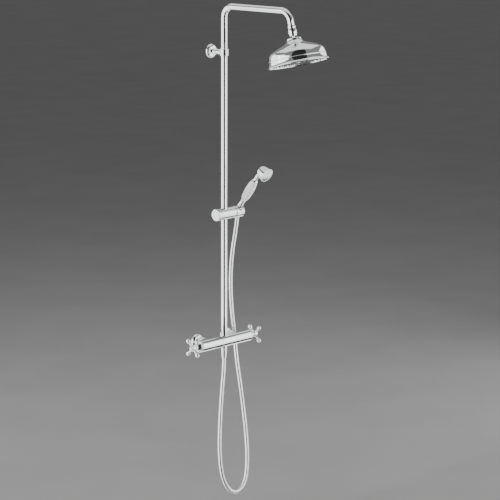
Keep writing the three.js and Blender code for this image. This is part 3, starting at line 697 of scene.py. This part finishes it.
piece("holder_cap", lathe(cap, 96), "holder", "chrome", slider_place @ ALONG_X, ["holder_end_cap"])

# ---------- handset ----------
handset_place = at(HANDSET_OFFSET, -WALL_TO_AXIS, SLIDER_HEIGHT) @ turn_about("X", HANDSET_LEAN)
ferrule_seat = [(4.6, 10.4), (10.1, 10.4), (11.1, 20.4), (11, 21.6), (9.4, 23.4)]
ferrule_waist = flowing([(9.4, 23.4), (9.8, 26.6), (9.9, 30), (9.4, 37), (8.3, 44), (7.5, 48.6)])
ferrule_lip = rounded([(7.5, 48.6), (8.8, 50.4), (8.8, 53), (8.2, 54.3), (4.6, 54.3)], 0.6)
ferrule = lathe([*ferrule_seat, *ferrule_waist[1:], *ferrule_lip[1:]], 72, True)
piece("ferrule", ferrule, "handset", "chrome", handset_place, ["handset_ferrule"])
grip_side = flowing([
    (8.2, 55), (9.6, 58), (11.6, 63), (14.2, 74), (15.6, 85), (16.2, 98), (16.2, 108), (15.8, 118),
    (14.9, 128), (13.3, 137), (11.9, 142.6), (10.6, 146),
])
grip = lathe([(4.6, 54.6), (7.8, 54.6), *grip_side, (10.2, 146.4), (4.6, 146.4)], 96, True)
piece("porcelain_grip", grip, "handset", "porcelain", handset_place, ["handset_grip"])
neck_collar = rounded([(4.6, 146.7), (10.6, 146.7), (11, 148.2), (9.6, 150.2)], 0.4)
neck_side = flowing([(9.6, 150.2), (8.4, 152), (7.5, 155), (7.2, 159), (7.2, 170), (7.2, 176), (6.6, 181)])
stem = lathe([*neck_collar, *neck_side, (6.2, 184), (4.6, 184)], 64, True)
piece("handset_stem", stem, "handset", "chrome", handset_place, ["handset_neck"])
head_place = handset_place @ at(0, -FACE_FORWARD, FACE_ALONG) @ turn_about("X", FACE_TURN)
head_inside = [(0, 38.4), (6.4, 37.8), (11.8, 35.8), (19.6, 26.4), (21.8, 14), (23, 5.4), (24.4, 3.4)]
head_rim = rounded([(24.4, 3.4), (24.4, 0), (26.5, 0), (26.5, 1.8), (25.2, 3.2)], 0.4)
head_side = flowing([
    (25.2, 3.2), (24.9, 5.6), (24.4, 9.4), (23.8, 14), (22.9, 20), (21.8, 25), (20.2, 29.4), (18, 33),
    (13, 37.4), (7, 39.7), (0, 40.4),
])
head_shell = lathe([*head_inside, *head_rim[1:], *head_side[1:]], 96)
piece("handset_shell", head_shell, "handset", "chrome", head_place, ["handset_head"])
face_plate = lathe([(0, 0.9), (3, 0.9), (23.6, 0.9), (24, 1.3), (24, 2.6), (0, 2.6)], 72)
face_holes = holes(FACE_RINGS, 1.6, 0, 4)
piece("handset_face", face_plate, "handset", "chrome", head_place, ["handset_spray_plate"], face_holes)
small_jet = [(0, 3.5), (1.3, 3.5), (1.3, 0.8), (1, -0.4), (0.5, -0.4), (0.4, 0.4), (0, 0.4)]
face_mat = [(lathe([(0, 2.9), (20.6, 2.9), (20.6, 4.6), (0, 4.6)], 64), HERE)]
face_mat += [(lathe(small_jet, 14), place) for place in ring_places(FACE_RINGS)]
piece("handset_jets", combined(face_mat), "handset", "silicone", head_place, ["handset_nozzle_mat"])

cone_outline = rounded_ring([(4.5, -9), (6.8, -9), (7.4, -6), (7.8, 3), (7, 4.6), (4.5, 4.6)], 0.5)
cone = lathe(cone_outline, 64, True)
cone_place = slider_place @ at(HANDSET_OFFSET, HOSE_ENTRY_SHIFT, 0) @ turn_about("X", HOSE_ENTRY_LEAN)
cone_piece = piece("hose_cone", cone, "handset", "chrome", cone_place, ["hose_top_cone"])


# ---------- hose ----------
def route_points(route, spacing):
    """Points every spacing metres along a smooth curve through the route."""
    fine = [Vector(point) for point in flowing(route, 40)]
    points = [fine[0]]
    left = spacing
    for start, end in zip(fine, fine[1:]):
        step = (end - start).length
        while step >= left:
            start = start.lerp(end, left / step)
            points.append(start)
            step = (end - start).length
            left = spacing
        left -= step
    return points


# One ridge of the wound hose: how far each of its rings stands out from the hose's radius.
RIDGE_RINGS = [0, -0.05, -0.5, -0.05, 0, 0.08]
HOSE_SEGMENTS = 28
ring_spacing = HOSE_RIDGE_PITCH * MM / len(RIDGE_RINGS)
hose_centres = route_points(HOSE_ROUTE, ring_spacing)[::-1]
hose_radii = [(HOSE_RADIUS + RIDGE_RINGS[k % len(RIDGE_RINGS)]) * MM for k in range(len(hose_centres))]


def nearest_ring(height):
    """The ring of the hose's long leg at that height, in metres, counted from the valve's outlet."""
    leg = [k for k, point in enumerate(hose_centres) if point.x > 0.05]
    return min(leg, key=lambda k: abs(hose_centres[k].z - height))


def hose_stretch(name, start, end):
    """One stretch of the hose. Shares that ease along its length are worked out, but nothing bends it by
    them.
    """
    points = hose_centres[start:end + 1]
    tube = swept(points, hose_radii[start:end + 1], HOSE_SEGMENTS, (0, 1, 0))
    obj = shown(name, tube, "hose_metal")
    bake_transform(obj)
    shares = []
    for k in range(len(points)):
        share = k / (len(points) - 1)
        shares += [share * share * (3 - 2 * share)] * HOSE_SEGMENTS
    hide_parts("shower_hose")
    return obj, points


# The heights at which one stretch of the hose gives way to the next.
CARRIAGE_FROM = 0.17
SLIDER_FROM = 0.424
HOLDER_FROM = 0.446
leaves_column = nearest_ring(CARRIAGE_FROM)
reaches_holder = nearest_ring(SLIDER_FROM)
enters_holder = nearest_ring(HOLDER_FROM)
last_ring = len(hose_centres) - 1
main_hose, main_path = hose_stretch("hose", 0, leaves_column)
upper_hose, upper_path = hose_stretch("hose_upper", leaves_column, reaches_holder)
tail, _ = hose_stretch("hose_tail", reaches_holder, enters_holder)
plug, _ = hose_stretch("hose_in_holder", enters_holder, last_ring)

# ---------- floor and light ----------
# Low enough for the hose's loop when the slider is at its lowest.
FLOOR_HEIGHT = -0.78
FLOOR_HALF_SIZE = 60
FLOOR_PALE = (0.25, 0.25, 0.25)
FLOOR_PALER = (0.265, 0.265, 0.265)
floor_mesh = bmesh.new()
bmesh.ops.create_grid(floor_mesh, x_segments=2, y_segments=2, size=FLOOR_HALF_SIZE)
floor_mesh.transform(Matrix.Translation((0, 0, FLOOR_HEIGHT)))
floor = bpy.data.objects.new("floor", finished_mesh("floor", floor_mesh))
scene.collection.objects.link(floor)
floor_nodes = Nodes("pale_floor")
floor_tone = floor_nodes.ranged(floor_nodes.noise(3, 3), 0.3, 0.7, 0, 1)
floor_colour = floor_nodes.blended(floor_tone, FLOOR_PALE, FLOOR_PALER)
floor_nodes.join(floor_colour, floor_nodes.shader.inputs["Base Color"])
floor_nodes.shader.inputs["Roughness"].default_value = 0.8
floor.data.materials.append(floor_nodes.material)

world = bpy.data.worlds.new("studio")
world.use_nodes = True
surroundings = world.node_tree.nodes["Background"]
surroundings.inputs["Color"].default_value = (0.9, 0.9, 0.9, 1)
surroundings.inputs["Strength"].default_value = 0.3
scene.world = world

LIGHT_CENTRE_Y = -0.1
towards_camera = -level
to_the_right = Vector((level.y, -level.x, 0))


def outward_from_column(angle):
    """A level direction. Angle 0 is the camera's side and 90 its right."""
    turn = math.radians(angle)
    return towards_camera * math.cos(turn) + to_the_right * math.sin(turn)


def round_the_column(angle, distance, height):
    """A place round the column, in metres."""
    return Vector((0, LIGHT_CENTRE_Y, height)) + outward_from_column(angle) * distance


def softbox(name, place, forward, width, tall, brightness, upright=(0, 0, 1)):
    """A large soft light. Its power follows its size, so that brightness is what a mirror shows."""
    lamp_data = bpy.data.lights.new(name, "AREA")
    lamp_data.shape = "RECTANGLE"
    lamp_data.size = width
    lamp_data.size_y = tall
    lamp_data.energy = brightness * math.pi * width * tall
    lamp = bpy.data.objects.new(name, lamp_data)
    scene.collection.objects.link(lamp)
    lamp.visible_camera = False
    aim(lamp, place, forward, upright)


# Each side light's name, its angle round the column, its width in metres and its brightness.
SIDE_LIGHTS = [
    ("light_left_front", -52, 3.6, 2.6),
    ("light_left_back", -106, 3.4, 2.2),
    ("light_right_front", 66, 3.6, 2.7),
    ("light_right_back", 122, 3.2, 2.0),
]
SIDE_DISTANCE = 3.2
SIDE_HEIGHT = 0.8
SIDE_TALL = 3.1
SIDE_DIP = Vector((0, 0, 0.06))
for light_name, angle, width, brightness in SIDE_LIGHTS:
    inward = outward_from_column(angle) * -1 - SIDE_DIP
    place = round_the_column(angle, SIDE_DISTANCE, SIDE_HEIGHT)
    softbox(light_name, place, inward, width, SIDE_TALL, brightness)

DOWN = (0, 0, -1)
UP = (0, 0, 1)
CEILING_HEIGHT = 3.4
CEILING_BRIGHTNESS = 0.95
ceiling_place = round_the_column(180, 1.7, CEILING_HEIGHT)
softbox("light_above", ceiling_place, DOWN, 4.6, 5.4, CEILING_BRIGHTNESS, level)

# Low lights that face up beside the dark strip. Chrome shows them as its lower reflections.
STRIP_LEFT = -23
STRIP_RIGHT = 37
LOW_LIGHT_HEIGHT = FLOOR_HEIGHT + 0.01
LOW_LIGHT_WIDTH = 3.0
LOW_LIGHT_LENGTH = 4.6
LOW_LIGHT_BRIGHTNESS = 1.7
BESIDE_STRIP = 1.65
LOW_LIGHTS = [("light_floor_left", STRIP_LEFT, -90), ("light_floor_right", STRIP_RIGHT, 90)]
for light_name, edge, side_turn in LOW_LIGHTS:
    along_edge = outward_from_column(edge)
    beside = outward_from_column(edge + side_turn)
    place = round_the_column(edge, 0.6, LOW_LIGHT_HEIGHT) + beside * BESIDE_STRIP
    softbox(light_name, place, UP, LOW_LIGHT_WIDTH, LOW_LIGHT_LENGTH, LOW_LIGHT_BRIGHTNESS, along_edge)

FLAG_HEIGHT = FLOOR_HEIGHT + 0.02
FLAG_TOP = 6.5
FLAG_DISTANCE = 3.0
FELT = (0.012, 0.012, 0.012)
WORN_FELT = (0.02, 0.02, 0.02)


def dark_flag(name, places):
    """A flat dark felt panel. The camera looks past it, and chrome shows it as a dark line."""
    panel = bmesh.new()
    panel.faces.new([panel.verts.new(place) for place in places])
    flag = bpy.data.objects.new(name, finished_mesh(name, panel))
    scene.collection.objects.link(flag)
    flag.data.materials.append(moulded(f"{name}_felt", FELT, WORN_FELT, 0.9, 1.0, 300))
    flag.visible_camera = False
    flag.visible_diffuse = False
    flag.visible_shadow = False


def strip_corners(near, far, low, high):
    """The corners of a strip between two distances on the camera's side."""
    return [
        round_the_column(STRIP_LEFT, near, low), round_the_column(STRIP_RIGHT, near, low),
        round_the_column(STRIP_RIGHT, far, high), round_the_column(STRIP_LEFT, far, high),
    ]


dark_flag("flag_upright", strip_corners(FLAG_DISTANCE, FLAG_DISTANCE, FLAG_HEIGHT, FLAG_TOP))
dark_flag("flag_flat", strip_corners(0.12, FLAG_DISTANCE, FLAG_HEIGHT, FLAG_HEIGHT))
UNDER_BAR = [(0.19, -0.01), (2.6, -0.01), (2.6, -0.68), (0.19, -0.68)]
dark_flag("flag_under_bar", [(x, y, FLAG_HEIGHT + 0.01) for x, y in UNDER_BAR])
